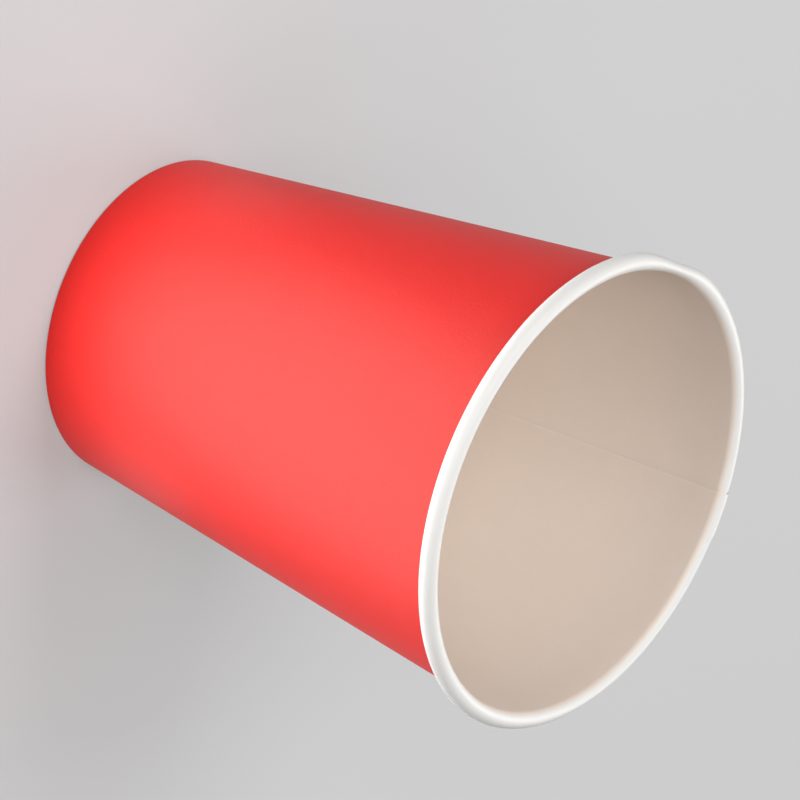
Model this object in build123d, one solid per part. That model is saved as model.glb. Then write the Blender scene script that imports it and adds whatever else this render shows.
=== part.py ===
from build123d import *
from math import asin, atan2, cos, degrees, hypot, sin
import os

os.makedirs("parts", exist_ok=True)

# A single-wall paper cup for hot drinks, standing on its foot with the mouth up.
# Millimetres, +Z up, origin at the middle of the foot ring, lap seam at the back (+Y).

# Finished cup
rim_diameter = 80.0
foot_diameter = 56.0
cup_height = 94.0

# The two boards that the blanks are cut from
wall_board = 0.35
base_board = 0.28

# Rolled rim: thickness of the roll, how far round it curls, and the gap it keeps to the doubled lap
roll_thickness = 3.0
roll_turn = 345.0
roll_gap = 0.05

# Lap seam: overlap of the two edges at the rim, and the width in which the outer edge steps up
lap_width = 7.5
step_width = 1.2

# Foot: height of the base above the table, and the hem that is turned up inside it
base_recess = 7.5
hem_setback = 1.2
heel_crease = 0.05

# Base: radius of the drawn corner, clearance under the skirt, and the film of the heat seal
base_corner = 0.5
skirt_clearance = 0.15
seal_gap = 0.02

# What follows from the sizes above
roll_radius = roll_thickness / 2
tuck_radius = roll_radius - wall_board - roll_gap / 2
roll_centre_r = rim_diameter / 2 - roll_radius
roll_centre_z = cup_height - roll_radius
foot_radius = foot_diameter / 2
spread = roll_centre_r - foot_radius
taper = atan2(spread, roll_centre_z) - asin((roll_radius - wall_board) / hypot(spread, roll_centre_z))
rise = cos(taper)
lean = sin(taper)
pocket = base_board + 2 * seal_gap
lap_angle = degrees(lap_width / (rim_diameter / 2))
step_angle = degrees(step_width / foot_radius)
lap_start = 90 - lap_angle / 2
lap_end = 90 + lap_angle / 2


def wall_radius(height, depth):
    """Radius at a height of the cone that lies a depth behind the printed face of the wall."""
    return foot_radius + height * lean / rise - depth / rise


def wall_face(into, plies):
    """One face of the wall board from hem to roll, lying a depth into the board from its food side.

    The edge runs down the hem, round the heel on to the table, up the wall and out round the roll.
    Where the lap doubles the board, the heel is pressed level and so lies one board higher.
    """
    hem_top = base_recess - hem_setback
    hem_edge = (wall_radius(hem_top, wall_board + pocket) - into * rise, hem_top + into * lean)
    land = plies * wall_board - into
    heel_inner = (wall_radius(land, wall_board + pocket + into), land)
    heel_outer = (wall_radius(land, wall_board - into), land)
    curl = roll_radius - into
    wall_top = (roll_centre_r - curl * rise, roll_centre_z + curl * lean)
    up_to_roll = FilletPolyline(hem_edge, heel_inner, heel_outer, wall_top, radius=heel_crease + into)
    over = JernArc(wall_top, (lean, rise), curl, -180)
    under = JernArc(over @ 1, over % 1, tuck_radius - into, 180 - roll_turn)
    return [*up_to_roll.edges(), over.edge(), under.edge()], hem_edge, under @ 1


def wall_section(near, far, plies):
    """Upright section of the wall between two depths in the board, in the XZ plane."""
    near_edges, near_hem, near_tuck = wall_face(near, plies)
    far_edges, far_hem, far_tuck = wall_face(far, plies)
    cut_edges = [Line(near_hem, far_hem).edge(), Line(near_tuck, far_tuck).edge()]
    return Plane.XZ * make_face([*near_edges, *far_edges, *cut_edges])


def swept(section, start, end):
    """A section turned round the axis of the cup from one azimuth to another, in degrees."""
    return Rot(0, 0, start) * revolve(section, Axis.Z, end - start)


def side_wall():
    """The printed wall: one board wrapped to a cone, lapped, rolled at the rim and hemmed at the foot."""
    one_ply = wall_section(0, wall_board, 1)
    outer_ply = wall_section(wall_board, 2 * wall_board, 2)
    both_plies = wall_section(0, 2 * wall_board, 2)
    step_end = lap_end + step_angle
    cone = swept(one_ply, step_end, 360 + lap_start)
    lap = swept(both_plies, lap_start, lap_end)
    step = loft([Rot(0, 0, lap_end) * outer_ply, Rot(0, 0, step_end) * one_ply], ruled=True)
    return cone + lap + step


def base_face(depth):
    """One face of the base board from its middle to the skirt's cut edge, a depth under the food side."""
    flat = base_recess + base_board - depth
    skirt_end = 2 * wall_board + skirt_clearance
    behind = wall_board + seal_gap + depth
    corner = (wall_radius(flat, behind), flat)
    cut_edge = (wall_radius(skirt_end, wall_board + seal_gap) - depth * rise, skirt_end + depth * lean)
    return FilletPolyline((0, flat), corner, cut_edge, radius=base_corner + base_board - depth), cut_edge


def base_disc():
    """The base: a disc drawn down to a skirt, which the hem of the wall holds all round."""
    top, top_cut = base_face(0)
    underside, underside_cut = base_face(base_board)
    axis_edge = Line(top @ 0, underside @ 0)
    cut_edge = Line(top_cut, underside_cut)
    section = make_face([*top.edges(), cut_edge.edge(), *underside.edges(), axis_edge.edge()])
    return revolve(Plane.XZ * section, Axis.Z, 360)


export_step(side_wall(), "parts/side_wall.step")
export_step(base_disc(), "parts/base_disc.step")
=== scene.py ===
from math import asin, atan2, cos, hypot, pi, radians, sin, tan

import bmesh
import bpy
import numpy as np
from mathutils import Matrix, Vector


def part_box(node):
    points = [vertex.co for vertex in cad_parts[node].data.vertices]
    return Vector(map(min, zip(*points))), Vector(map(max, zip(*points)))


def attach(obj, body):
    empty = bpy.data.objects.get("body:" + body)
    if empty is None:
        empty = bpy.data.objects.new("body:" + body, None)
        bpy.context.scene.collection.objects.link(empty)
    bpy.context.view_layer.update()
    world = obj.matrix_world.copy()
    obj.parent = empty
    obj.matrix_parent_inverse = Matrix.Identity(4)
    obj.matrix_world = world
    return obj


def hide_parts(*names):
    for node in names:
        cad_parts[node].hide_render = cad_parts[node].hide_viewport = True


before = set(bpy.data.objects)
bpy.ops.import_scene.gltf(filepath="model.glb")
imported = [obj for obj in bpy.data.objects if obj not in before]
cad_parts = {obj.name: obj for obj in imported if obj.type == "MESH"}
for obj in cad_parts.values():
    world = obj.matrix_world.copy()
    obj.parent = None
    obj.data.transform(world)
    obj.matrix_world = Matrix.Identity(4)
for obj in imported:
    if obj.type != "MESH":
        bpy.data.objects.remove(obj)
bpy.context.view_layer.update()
bpy.context.scene.view_settings.view_transform = "Standard"

# The side wall: one sheet of paper board, printed red on one side and coated with a clear film
# on the other. It is wrapped to a cone, lapped and heat sealed down the back, rolled outwards
# at the mouth, and its lower edge is turned in and up as the hem that the cup stands on.
wall_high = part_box("side_wall")[1]
rim_radius = round(wall_high.x, 4)
cup_height = round(wall_high.z, 4)
foot_radius = 0.028
board = 0.00035
roll_radius = 0.0015
roll_turn = radians(345)
roll_gap = 0.00005
heel_crease = 0.00005
lap_width = 0.0075
step_width = 0.0012
press_width = 0.0030
edge_width = 0.00018

# The hem holds the skirt of the base, with a film of melted coating on each side of it.
base_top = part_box("base_disc")[1].z
base_board = 0.00028
seal_film = 0.00002
hem_setback = 0.0012
hem_top = base_top - base_board - hem_setback
pocket = base_board + 2 * seal_film

# What follows from those sizes: the roll's middle, the taper of the cone, and angles along the sheet.
tuck_radius = roll_radius - board - roll_gap / 2
roll_r = rim_radius - roll_radius
roll_z = cup_height - roll_radius
spread = roll_r - foot_radius
taper = atan2(spread, roll_z) - asin((roll_radius - board) / hypot(spread, roll_z))
lap = lap_width / rim_radius
step = step_width / foot_radius
press = press_width / foot_radius
edge_strip = edge_width / foot_radius
lap_end = pi / 2 + lap / 2

# Points of the section on each stretch of it, closer where it turns.
hem_points = 7
heel_points = 6
cone_points = 34
curl_points = 22
tuck_points = 20


def wall_radius(height, depth):
    """Radius of the cone a depth behind the printed face: foot + height tan(taper) - depth / cos(taper)."""
    return foot_radius + height * tan(taper) - depth / cos(taper)


def bend(centre_r, centre_z, radius, start, end, count):
    """Points of an arc, centre + radius (cos, sin), and the same unit vectors, from start to end."""
    angle = np.linspace(start, end, count)
    way = np.stack([np.cos(angle), np.sin(angle)], axis=-1)
    centre = np.stack(np.broadcast_arrays(centre_r, centre_z), axis=-1)[:, None, :]
    return centre + radius * way, way


def straight(start, end, count):
    """Points inside a straight stretch: start + t (end - start), with both ends left out."""
    t = np.linspace(0, 1, count + 2)[1:-1]
    return start[:, None, :] + t[:, None] * (end - start)[:, None, :]


def wall_line(land):
    """The food side of the wall in (r, z), and the normals into the board, for each height of its land.

    The land is the flat of the heel, one board above the table, or two where the lap doubles it. The line
    runs down the hem, round the heel, up the cone, and round the roll in two arcs. An arc turns about its
    centre, and straight stretches join the arcs. The last result is how far round the roll's first arc
    each point lies, from 0 to 1.
    """
    heel_z = land + heel_crease
    lean_in = pi - taper
    lean_out = 2 * pi - taper
    over = -taper
    inner, inner_way = bend(wall_radius(heel_z, board + pocket - heel_crease), heel_z, heel_crease,
                            lean_in, 1.5 * pi, heel_points)
    outer, outer_way = bend(wall_radius(heel_z, board + heel_crease), heel_z, heel_crease,
                            1.5 * pi, lean_out, heel_points)
    curl, curl_way = bend(np.full_like(land, roll_r), roll_z, roll_radius, lean_in, over, curl_points)
    shift = roll_radius - tuck_radius
    tuck, tuck_way = bend(np.full_like(land, roll_r + shift * cos(taper)), roll_z - shift * sin(taper),
                          tuck_radius, over, pi - roll_turn - taper, tuck_points)
    hem_r = np.full_like(land, wall_radius(hem_top, board + pocket))
    hem_edge = np.stack([hem_r, np.full_like(land, hem_top)], axis=-1)
    hem = np.concatenate([hem_edge[:, None, :], straight(hem_edge, inner[:, 0], hem_points)], axis=1)
    cone = straight(outer[:, -1], curl[:, 0], cone_points)
    points = np.concatenate([hem, inner, outer, cone, curl, tuck[:, 1:]], axis=1)
    in_way = np.array([-cos(taper), sin(taper)])
    normals = np.concatenate([np.tile(in_way, (hem.shape[1], 1)), inner_way, outer_way,
                              np.tile(-in_way, (cone_points, 1)), -curl_way, -tuck_way[1:]])
    before_roll = hem.shape[1] + 2 * heel_points + cone_points
    round_roll = np.clip((np.arange(len(normals)) - before_roll) / (curl_points - 1), 0, 1)
    return points, normals, round_roll


def smooth_step(t):
    """3t^2 - 2t^3, held at 0 below 0 and at 1 above 1."""
    t = np.clip(t, 0, 1)
    return t * t * (3 - 2 * t)


# The lap: how far through its smooth step the pressed edge starts, the air left between the two
# plies, and how far the roll swells there, which it does in full from halfway round its first arc.
pressed_share = 0.44
lap_air = 0.00001
lap_bulge = 0.00014
bulge_full = 0.5


def around(sheet):
    """Along the sheet: how far the lap doubles it, its lift over the first edge, and its thickness.

    Each is a smooth step. The first edge is pressed thin where the sealing jaw closes on it, as a step
    of sheet / press + pressed share, and one turn further on the lift rises by the same curve.
    """
    under = 1 - smooth_step((sheet - lap) / step)
    over = smooth_step((sheet - 2 * pi) / press + pressed_share)
    pressed = smooth_step(sheet / press + pressed_share)
    return np.maximum(under, over), over, board * pressed


# The cup is a little out of round: the mouth is oval, the wall has faint ripples, and in one place
# the roll is knocked flat. A ripple has a height, waves round the cup, a phase and a twist.
oval = 0.016
oval_azimuth = radians(113)
oval_power = 1.5
ripples = ((0.00010, 3, 1.1, 2.2), (0.00006, 5, 0.4, -3.1))
ripple_end = 0.02
dent = 0.0009
dent_azimuth = radians(176)
dent_width = radians(10)


def out_of_round(points, azimuth):
    """Points in (r, z) with r changed as the cup is out of round, by more towards the mouth.

    The dent takes dent exp(-(turn / width)^2) from r, times how far across the roll a point lies. The oval
    multiplies r by 1 + oval cos 2(azimuth - long axis) reach^power, where reach is z / height. Each ripple
    adds height sin(waves azimuth + phase + twist reach) sqrt(sin(pi reach)) reach, and under the root
    reach comes no nearer to 0 and 1 than the ripple end.
    """
    reach = np.clip(points[..., 1] / cup_height, 0, 1)
    turn = azimuth[:, None]
    from_dent = (turn - dent_azimuth + pi) % (2 * pi) - pi
    across_roll = np.clip((points[..., 0] - roll_r + roll_radius) / (2 * roll_radius), 0, 1)
    ripple = sum(height * np.sin(waves * turn + phase + twist * reach)
                 for height, waves, phase, twist in ripples)
    swing = np.sin(pi * np.clip(reach, ripple_end, 1 - ripple_end)) ** 0.5
    changed = points.copy()
    changed[..., 0] -= dent * np.exp(-(from_dent / dent_width) ** 2) * across_roll
    changed[..., 0] *= 1 + oval * np.cos(2 * (turn - oval_azimuth)) * reach ** oval_power
    changed[..., 0] += ripple * swing * reach
    return changed


def about_axis(r, z, azimuth):
    """The points (r cos azimuth, r sin azimuth, z), with one row of them for each azimuth."""
    turn = azimuth[:, None]
    return np.stack([r * np.cos(turn), r * np.sin(turn), z], axis=-1)


def wall_sheet(sheet, depth):
    """A face of the wrapped board: azimuth = lap end - sheet, and point = line + offset normal.

    The offset is the lift of the second edge over the lap, plus depth times the thickness, less the bulge.
    The line so moved is then put out of round.
    """
    doubled, lifted, thickness = around(sheet)
    points, normals, round_roll = wall_line(board * (1 + doubled))
    lift = lifted * (board + lap_air)
    bulge = lap_bulge * doubled[:, None] * smooth_step(round_roll / bulge_full)
    offset = (lift + depth * thickness)[:, None] - bulge
    azimuth = lap_end - sheet
    line = out_of_round(points + offset[..., None] * normals, azimuth)
    return about_axis(line[..., 0], line[..., 1], azimuth)


near_slot = 0
far_slot = 1
cut_slot = 2
crease_angle = radians(35)


def closed_sheet(name, near, far, along, down, ends_open, unprinted=0):
    """A board as a closed mesh: each column is a ring down the near face and back up the far one.

    Point j of column i is number i ring + j. Cut edges close the sheet, and the far face has their slot
    in the first unprinted columns. The UV map holds metres along the sheet and metres down its section.
    """
    columns, count = near.shape[:2]
    ring = 2 * count
    verts = np.concatenate([near, far[:, ::-1]], axis=1)
    i = np.arange(columns - 1 if ends_open else columns)[:, None]
    j = np.arange(ring if ends_open else ring - 1)[None, :]
    next_i = (i + 1) % columns
    next_j = (j + 1) % ring
    quads = np.stack([i * ring + j, next_i * ring + j, next_i * ring + next_j, i * ring + next_j], axis=-1)
    slots = np.broadcast_to(np.where(j < count - 1, near_slot, far_slot), quads.shape[:2]).copy()
    slots[:, count - 1] = cut_slot
    if ends_open:
        slots[:, ring - 1] = cut_slot
        slots[0, :count] = cut_slot
        slots[-1, count:] = cut_slot
        slots[:unprinted, count:] = cut_slot
    quads = quads.reshape(-1, 4)
    slots = slots.reshape(-1)
    if ends_open:
        k = np.arange(count - 1)
        first_end = np.stack([k, k + 1, ring - 2 - k, ring - 1 - k], axis=-1)
        second_end = (first_end + (columns - 1) * ring)[:, ::-1]
        quads = np.concatenate([quads, first_end, second_end])
        slots = np.concatenate([slots, np.full(2 * len(k), cut_slot)])
    mesh = bpy.data.meshes.new(name)
    mesh.from_pydata(verts.reshape(-1, 3).tolist(), [], quads.tolist())
    mesh.polygons.foreach_set("material_index", slots.astype(np.int32))
    place = np.zeros((columns, ring, 2), dtype=np.float32)
    place[..., 0] = along[:, None]
    place[..., 1] = np.concatenate([down, down[::-1]])
    corner = np.zeros(len(mesh.loops), dtype=np.int32)
    mesh.loops.foreach_get("vertex_index", corner)
    mesh.uv_layers.new(name="sheet").data.foreach_set("uv", place.reshape(-1, 2)[corner].reshape(-1))
    mesh.shade_smooth()
    mesh.set_sharp_from_angle(angle=crease_angle)
    mesh.update()
    piece = bpy.data.objects.new(name, mesh)
    bpy.context.scene.collection.objects.link(piece)
    return piece


# Columns of the mesh along the sheet: the strip under the lap, its step, the plain wall, the place
# where the second edge is lifted, and that edge. The strip under the lap has no print, so that it seals.
under_columns = 20
step_columns = 8
plain_columns = 400
lift_columns = 24
over_columns = 7
unprinted_columns = 16
sheet = np.concatenate([
    [0],
    np.linspace(edge_strip, lap, under_columns, endpoint=False),
    np.linspace(lap, lap + step, step_columns, endpoint=False),
    np.linspace(lap + step, 2 * pi - press / 2, plain_columns, endpoint=False),
    np.linspace(2 * pi - press / 2, 2 * pi + press, lift_columns, endpoint=False),
    np.linspace(2 * pi + press, 2 * pi + lap - edge_strip, over_columns),
    [2 * pi + lap],
])
plain_line = wall_line(np.array([board]))[0][0]
down = np.concatenate([[0], np.cumsum(np.hypot(*np.diff(plain_line, axis=0).T))])
hem_end = down[np.argmin(plain_line[:, 1])]
roll_start = down[np.argmax(plain_line[:, 1] > roll_z)]
wall = closed_sheet("wall", wall_sheet(sheet, 0.0), wall_sheet(sheet, 1.0), foot_radius * sheet, down,
                    ends_open=True, unprinted=unprinted_columns)


def add(tree, kind, place, **settings):
    """A shader node at a place in the tree, with its named inputs and properties set."""
    node = tree.nodes.new(kind)
    node.location = place
    for key, value in settings.items():
        if key in node.inputs:
            node.inputs[key].default_value = value
        else:
            setattr(node, key, value)
    return node


def join(tree, *pairs):
    """Links each pair, from its output socket to its input socket."""
    for source, target in pairs:
        tree.links.new(source, target)


def fade(tree, place, start, end):
    """A node that rises smoothly from 0 where its value is start to 1 where it is end."""
    node = add(tree, "ShaderNodeMapRange", place, interpolation_type="SMOOTHSTEP")
    node.inputs["From Min"].default_value = start
    node.inputs["From Max"].default_value = end
    return node


cloud_scale = 140
cloud_height = 0.6


def board_fibres():
    """Shader group for bare or printed board: Cloud is its slow unevenness, Fibre its felted surface.

    Height is cloud height times Cloud, plus Fibre.
    """
    group = bpy.data.node_groups.new("board fibres", "ShaderNodeTree")
    group.interface.new_socket("Fibre Scale", in_out="INPUT", socket_type="NodeSocketFloat")
    for name in ("Cloud", "Fibre", "Height"):
        group.interface.new_socket(name, in_out="OUTPUT", socket_type="NodeSocketFloat")
    given = add(group, "NodeGroupInput", (-700, 0))
    out = add(group, "NodeGroupOutput", (500, 0))
    where = add(group, "ShaderNodeTexCoord", (-900, 200))
    cloud = add(group, "ShaderNodeTexNoise", (-450, 250), Scale=cloud_scale, Detail=3, Roughness=0.55)
    fibre = add(group, "ShaderNodeTexNoise", (-450, -50), Detail=5, Roughness=0.62, Distortion=1.2)
    height = add(group, "ShaderNodeMath", (150, 0), operation="MULTIPLY_ADD")
    height.inputs[1].default_value = cloud_height
    join(group,
         (where.outputs["Object"], cloud.inputs["Vector"]),
         (where.outputs["Object"], fibre.inputs["Vector"]),
         (given.outputs["Fibre Scale"], fibre.inputs["Scale"]),
         (cloud.outputs["Fac"], height.inputs[0]),
         (fibre.outputs["Fac"], height.inputs[2]),
         (cloud.outputs["Fac"], out.inputs["Cloud"]),
         (fibre.outputs["Fac"], out.inputs["Fibre"]),
         (height.outputs[0], out.inputs["Height"]))
    return group


fibres = board_fibres()
fibre_height = 0.00008
gloss_swing = 0.06
tone_start = 0.5


def board_material(name, deep, pale, cloudiness, roughness, relief, fibre_scale):
    """Board whose colour runs from a deep to a pale tone, and whose fibres raise its surface.

    The tone is cloudiness times Cloud plus Fibre, and it is pale from 1 + cloudiness on. The roughness
    swings a little with the fibre.
    """
    material = bpy.data.materials.new(name)
    material.use_nodes = True
    tree = material.node_tree
    shader = tree.nodes["Principled BSDF"]
    felt = add(tree, "ShaderNodeGroup", (-900, 0), node_tree=fibres)
    felt.inputs["Fibre Scale"].default_value = fibre_scale
    mottle = add(tree, "ShaderNodeMath", (-650, 200), operation="MULTIPLY_ADD")
    mottle.inputs[1].default_value = cloudiness
    paleness = add(tree, "ShaderNodeMapRange", (-480, 60))
    paleness.inputs["From Min"].default_value = tone_start
    paleness.inputs["From Max"].default_value = 1 + cloudiness
    tone = add(tree, "ShaderNodeMix", (-300, 200), data_type="RGBA")
    tone.inputs["A"].default_value = (*deep, 1)
    tone.inputs["B"].default_value = (*pale, 1)
    gloss = add(tree, "ShaderNodeMapRange", (-300, -80))
    gloss.inputs["To Min"].default_value = roughness - gloss_swing
    gloss.inputs["To Max"].default_value = roughness + gloss_swing
    raised = add(tree, "ShaderNodeBump", (-300, -350), Strength=relief, Distance=fibre_height)
    join(tree,
         (felt.outputs["Cloud"], mottle.inputs[0]),
         (felt.outputs["Fibre"], mottle.inputs[2]),
         (mottle.outputs[0], paleness.inputs["Value"]),
         (paleness.outputs["Result"], tone.inputs["Factor"]),
         (tone.outputs["Result"], shader.inputs["Base Color"]),
         (felt.outputs["Fibre"], gloss.inputs["Value"]),
         (gloss.outputs["Result"], shader.inputs["Roughness"]),
         (felt.outputs["Height"], raised.inputs["Height"]),
         (raised.outputs["Normal"], shader.inputs["Normal"]))
    return material


# The food side is white board all over, as the roll shows. Inside the cup it is painted beige as painted
# warm shade, which fades out between these two places up the roll.
roll_white = (0.765, 0.752, 0.73)
painted_shade_end_from = roll_start + 0.0006
painted_shade_end_to = roll_start + 0.0014


def food_side_painted_shade_board():
    """The coated side, white board: inside the cup it is painted beige as painted warm shade, fading to the
    board's own white where the sheet turns into the roll.
    """
    # The beige tones below are painted warm shade inside the cup, not the coating's own colour.
    material = board_material("food side", deep=(0.80, 0.695, 0.61), pale=(0.84, 0.745, 0.665),
                              cloudiness=0.8, roughness=0.45, relief=0.25, fibre_scale=1500)
    tree = material.node_tree
    shader = tree.nodes["Principled BSDF"]
    # The painted shade's beige, which the mix below takes out to the board's white on the roll.
    painted_shade_beige = shader.inputs["Base Color"].links[0].from_socket
    place = add(tree, "ShaderNodeUVMap", (-900, 420), uv_map="sheet")
    part = add(tree, "ShaderNodeSeparateXYZ", (-720, 420))
    out_of_painted_shade = fade(tree, (-520, 420), painted_shade_end_from, painted_shade_end_to)
    painted_shade_to_white = add(tree, "ShaderNodeMix", (-120, 300), data_type="RGBA")
    painted_shade_to_white.inputs["B"].default_value = (*roll_white, 1)
    join(tree,
         (place.outputs["UV"], part.inputs[0]),
         (part.outputs["Y"], out_of_painted_shade.inputs["Value"]),
         (out_of_painted_shade.outputs["Result"], painted_shade_to_white.inputs["Factor"]),
         (painted_shade_beige, painted_shade_to_white.inputs["A"]),
         (painted_shade_to_white.outputs["Result"], shader.inputs["Base Color"]))
    return material


knurl_pitch = 0.0013
knurl_height = 0.00012
knurl_from = 0.0005
knurl_full_from = 0.0012
knurl_full_to = hem_end - 0.0016
knurl_to = hem_end - 0.0006


def red_print_board():
    """The printed side: red ink under a satin varnish, with a knurl pressed into the hem.

    The knurl is sin(2 pi along / pitch), faded out towards the hem's cut edge and towards the heel.
    """
    material = board_material("red print", deep=(0.63, 0.007, 0.006), pale=(0.69, 0.013, 0.010),
                              cloudiness=0.8, roughness=0.52, relief=0.6, fibre_scale=1700)
    tree = material.node_tree
    shader = tree.nodes["Principled BSDF"]
    shader.inputs["Specular IOR Level"].default_value = 0.40
    shader.inputs["Specular Tint"].default_value = (1.0, 0.96, 0.83, 1)
    felt_normal = shader.inputs["Normal"].links[0].from_socket
    place = add(tree, "ShaderNodeUVMap", (-1100, -500), uv_map="sheet")
    part = add(tree, "ShaderNodeSeparateXYZ", (-920, -500))
    ribs = add(tree, "ShaderNodeMath", (-740, -440), operation="MULTIPLY")
    ribs.inputs[1].default_value = 2 * pi / knurl_pitch
    rib_wave = add(tree, "ShaderNodeMath", (-580, -440), operation="SINE")
    under_edge = fade(tree, (-740, -620), knurl_from, knurl_full_from)
    over_heel = fade(tree, (-740, -860), knurl_to, knurl_full_to)
    on_hem = add(tree, "ShaderNodeMath", (-520, -700), operation="MULTIPLY")
    knurl = add(tree, "ShaderNodeMath", (-400, -520), operation="MULTIPLY")
    raised = add(tree, "ShaderNodeBump", (-140, -420), Strength=0.5, Distance=knurl_height)
    join(tree,
         (place.outputs["UV"], part.inputs[0]),
         (part.outputs["X"], ribs.inputs[0]),
         (ribs.outputs[0], rib_wave.inputs[0]),
         (part.outputs["Y"], under_edge.inputs["Value"]),
         (part.outputs["Y"], over_heel.inputs["Value"]),
         (under_edge.outputs["Result"], on_hem.inputs[0]),
         (over_heel.outputs["Result"], on_hem.inputs[1]),
         (rib_wave.outputs[0], knurl.inputs[0]),
         (on_hem.outputs[0], knurl.inputs[1]),
         (knurl.outputs[0], raised.inputs["Height"]),
         (felt_normal, raised.inputs["Normal"]),
         (raised.outputs["Normal"], shader.inputs["Normal"]))
    return material


food_side_painted_shade = food_side_painted_shade_board()
red_print = red_print_board()
cut_edge = board_material("cut edge", deep=(0.80, 0.73, 0.65), pale=(0.88, 0.82, 0.75), cloudiness=0.5,
                          roughness=0.85, relief=0.8, fibre_scale=4000)
for material in (food_side_painted_shade, red_print, cut_edge):
    wall.data.materials.append(material)
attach(wall, "root")
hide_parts("side_wall")

# The base: a disc of thinner board, unprinted, drawn down to a skirt. The skirt is sealed
# between the wall and its turned-up hem, so only the disc shows, from above and from below.
skirt_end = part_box("base_disc")[0].z
base_corner = 0.0005
dish = 0.00025
flat_points = 26
corner_points = 9
skirt_points = 8
base_columns = 276


def base_face(depth):
    """One face of the base in (r, z), from its middle to the skirt's cut edge, a depth under the food side.

    The flat is dished by dish (1 - (r / R)^2), then an arc turns it down into the cone of the skirt.
    """
    centre_z = base_top - base_board - base_corner
    centre_r = wall_radius(centre_z, board + seal_film + base_board + base_corner)
    radius = base_corner + base_board - depth
    corner = bend(np.array([centre_r]), centre_z, radius, pi / 2, -taper, corner_points)[0][0]
    flat_end = corner[0, 0]
    flat_r = np.linspace(0, flat_end, flat_points)[:-1]
    flat = np.stack([flat_r, base_top - depth - dish * (1 - (flat_r / flat_end) ** 2)], axis=-1)
    cut_r = wall_radius(skirt_end, board + seal_film) - depth * cos(taper)
    cut = np.array([cut_r, skirt_end + depth * sin(taper)])
    skirt = corner[-1] + np.linspace(0, 1, skirt_points)[1:, None] * (cut - corner[-1])
    return np.concatenate([flat, corner, skirt])


pucker = 0.00005
pucker_waves = 46
stray = 2
stray_waves = 5
pucker_start = 0.021
pucker_fade = 0.006
flat_depth = 0.0008


def base_surface(azimuth, depth):
    """A face of the base turned about the cup's axis, with faint puckers where its corner was drawn.

    They add pucker sin(waves azimuth + stray sin(stray waves azimuth)) to z, so that they stray from even
    spacing, and they rise with r along the flat's outer part.
    """
    line = base_face(depth)
    turn = azimuth[:, None]
    on_flat = line[:, 1] > base_top - base_board - flat_depth
    share = np.clip((line[:, 0] - pucker_start) / pucker_fade, 0, 1) * on_flat
    lifted = pucker * share * np.sin(pucker_waves * turn + stray * np.sin(stray_waves * turn))
    return about_axis(np.broadcast_to(line[:, 0], lifted.shape), line[:, 1] + lifted, azimuth)


turns = -np.linspace(0, 2 * pi, base_columns, endpoint=False)
base_down = np.zeros(len(base_face(0.0)))
base = closed_sheet("base", base_surface(turns, 0.0), base_surface(turns, base_board), turns, base_down,
                    ends_open=False)

# All columns meet in the middle of the disc, where their points become one.
whole = bmesh.new()
whole.from_mesh(base.data)
bmesh.ops.remove_doubles(whole, verts=whole.verts, dist=0.000001)
whole.to_mesh(base.data)
whole.free()
bare_side = board_material("bare side", deep=(0.66, 0.62, 0.56), pale=(0.76, 0.72, 0.66), cloudiness=0.9,
                           roughness=0.78, relief=0.6, fibre_scale=2400)
# The base's top takes the food side's beige, painted warm shade inside the cup, over white board.
for material in (food_side_painted_shade, bare_side, cut_edge):
    base.data.materials.append(material)
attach(base, "root")
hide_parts("base_disc")

# The floor and sky: a pale seamless sheet that keeps the cup's shadow, and a faint white sky. What
# the camera and the cup's gloss see of the floor is lifted to a pale grey without lighting the cup.
floor_half = 3.0
floor_z = -0.0001
floor_glow = 0.25
floor_mesh = bpy.data.meshes.new("floor")
floor_mesh.from_pydata([(-floor_half, -floor_half, floor_z), (floor_half, -floor_half, floor_z),
                        (floor_half, floor_half, floor_z), (-floor_half, floor_half, floor_z)],
                       [], [(0, 1, 2, 3)])
floor = bpy.data.objects.new("floor", floor_mesh)
bpy.context.scene.collection.objects.link(floor)
pale_floor = bpy.data.materials.new("pale floor")
pale_floor.use_nodes = True
floor_tree = pale_floor.node_tree
floor_shader = floor_tree.nodes["Principled BSDF"]
floor_shader.inputs["Base Color"].default_value = (0.36, 0.36, 0.365, 1)
floor_shader.inputs["Roughness"].default_value = 0.9
floor_shader.inputs["Emission Color"].default_value = (1, 1, 1, 1)
path = add(floor_tree, "ShaderNodeLightPath", (-700, 0))
seen = add(floor_tree, "ShaderNodeMath", (-500, 0), operation="ADD")
seen_all = add(floor_tree, "ShaderNodeMath", (-350, 0), operation="ADD", use_clamp=True)
glow = add(floor_tree, "ShaderNodeMath", (-200, 0), operation="MULTIPLY")
glow.inputs[1].default_value = floor_glow
join(floor_tree,
     (path.outputs["Is Camera Ray"], seen.inputs[0]),
     (path.outputs["Is Glossy Ray"], seen.inputs[1]),
     (seen.outputs[0], seen_all.inputs[0]),
     (path.outputs["Is Transmission Ray"], seen_all.inputs[1]),
     (seen_all.outputs[0], glow.inputs[0]),
     (glow.outputs[0], floor_shader.inputs["Emission Strength"]))
floor_mesh.materials.append(pale_floor)
world = bpy.data.worlds.new("sky")
world.use_nodes = True
world.node_tree.nodes["Background"].inputs["Color"].default_value = (1, 1, 1, 1)
world.node_tree.nodes["Background"].inputs["Strength"].default_value = 0.06
bpy.context.scene.world = world

# The lamps: large soft ones above the cup, three on the camera's side, one overhead and one behind.
# The wall leans out and so faces slightly down, where only a panel near the floor gives it its satin
# sheen. Small strips open up the shade at the foot, and light the cup alone.
cup_middle = Vector((0, 0, cup_height / 2))


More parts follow.
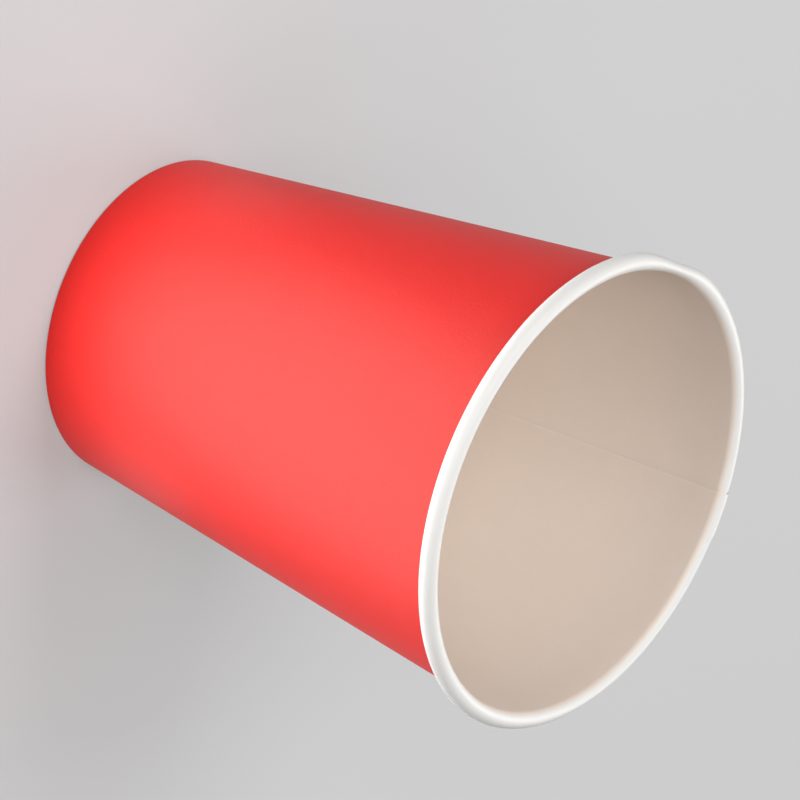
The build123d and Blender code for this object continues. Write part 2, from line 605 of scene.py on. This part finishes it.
def soft_lamp(name, azimuth, elevation, distance, size, watts):
    """A square lamp at an azimuth and elevation in degrees from the cup's middle, facing it."""
    azimuth = radians(azimuth)
    elevation = radians(elevation)
    way = Vector((cos(elevation) * cos(azimuth), cos(elevation) * sin(azimuth), sin(elevation)))
    light = bpy.data.lights.new(name, "AREA")
    light.size = size
    light.energy = watts
    lamp = bpy.data.objects.new(name, light)
    lamp.location = cup_middle + distance * way
    lamp.rotation_euler = way.to_track_quat("Z", "Y").to_euler()
    bpy.context.scene.collection.objects.link(lamp)


def hidden_panel(name, place, turn, width, height, watts):
    """A rectangular lamp that the camera doesn't see, facing down before it is turned."""
    light = bpy.data.lights.new(name, "AREA")
    light.shape = "RECTANGLE"
    light.size = width
    light.size_y = height
    light.energy = watts
    lamp = bpy.data.objects.new(name, light)
    lamp.location = place
    lamp.rotation_euler = turn
    lamp.visible_camera = False
    bpy.context.scene.collection.objects.link(lamp)
    return lamp


soft_lamp("front", azimuth=-97, elevation=45, distance=1.3, size=0.6, watts=5.3)
soft_lamp("side", azimuth=-163, elevation=57, distance=1.3, size=0.6, watts=8.0)
soft_lamp("other side", azimuth=-45, elevation=58, distance=1.3, size=0.6, watts=2.0)
soft_lamp("top", azimuth=-97, elevation=88, distance=1.0, size=0.5, watts=2.0)
soft_lamp("rear", azimuth=95, elevation=30, distance=1.3, size=0.6, watts=5.4)
hidden_panel("low", (0.060, -0.175, 0.0005), (pi, 0, 0), width=0.32, height=0.26, watts=0.95)
foot_strips = [hidden_panel("foot", (-0.045, -0.14, 0.012), (pi / 2, 0, 0),
                            width=0.22, height=0.02, watts=0.015)]
edge_distance = 0.048
edge_height = 0.0025
for azimuth in range(-165, -14, 30):
    away = Vector((cos(radians(azimuth)), sin(radians(azimuth)), 0))
    foot_strips.append(hidden_panel("foot edge", edge_distance * away + Vector((0, 0, edge_height)),
                                    away.to_track_quat("Z", "Y").to_euler(),
                                    width=0.03, height=0.004, watts=0.0013))
cup_alone = bpy.data.collections.new("cup alone")
cup_alone.objects.link(wall)
cup_alone.objects.link(base)
for strip in foot_strips:
    strip.light_linking.receiver_collection = cup_alone

# The camera: it looks down at the standing cup from the front, and is rolled on to its side, so that
# in the picture the cup lies with its mouth to the lower right, as it does in the photograph.
camera_distance = 0.621
camera_elevation = radians(35.2)
camera_azimuth = radians(-97.1)
camera_roll = radians(112.3)
sensor = 36.0
photo_width = 800
focal_pixels = 3786
aim_right = 0.00508
aim_up = 0.00043
backward = Vector((cos(camera_elevation) * cos(camera_azimuth), cos(camera_elevation) * sin(camera_azimuth),
                   sin(camera_elevation)))
level_right = Vector((-sin(camera_azimuth), cos(camera_azimuth), 0))
level_up = backward.cross(level_right)
right = cos(camera_roll) * level_right + sin(camera_roll) * level_up
up = -sin(camera_roll) * level_right + cos(camera_roll) * level_up
place = cup_middle + camera_distance * backward
aim = cup_middle + aim_right * right + aim_up * up
back = (place - aim).normalized()
right = (right - back * right.dot(back)).normalized()
up = back.cross(right)
lens = bpy.data.cameras.new("camera")
lens.sensor_width = sensor
lens.lens = focal_pixels / photo_width * sensor
lens.clip_start = 0.05
camera = bpy.data.objects.new("camera", lens)
camera.matrix_world = Matrix.Translation(place) @ Matrix((right, up, back)).transposed().to_4x4()
bpy.context.scene.collection.objects.link(camera)
bpy.context.scene.camera = camera
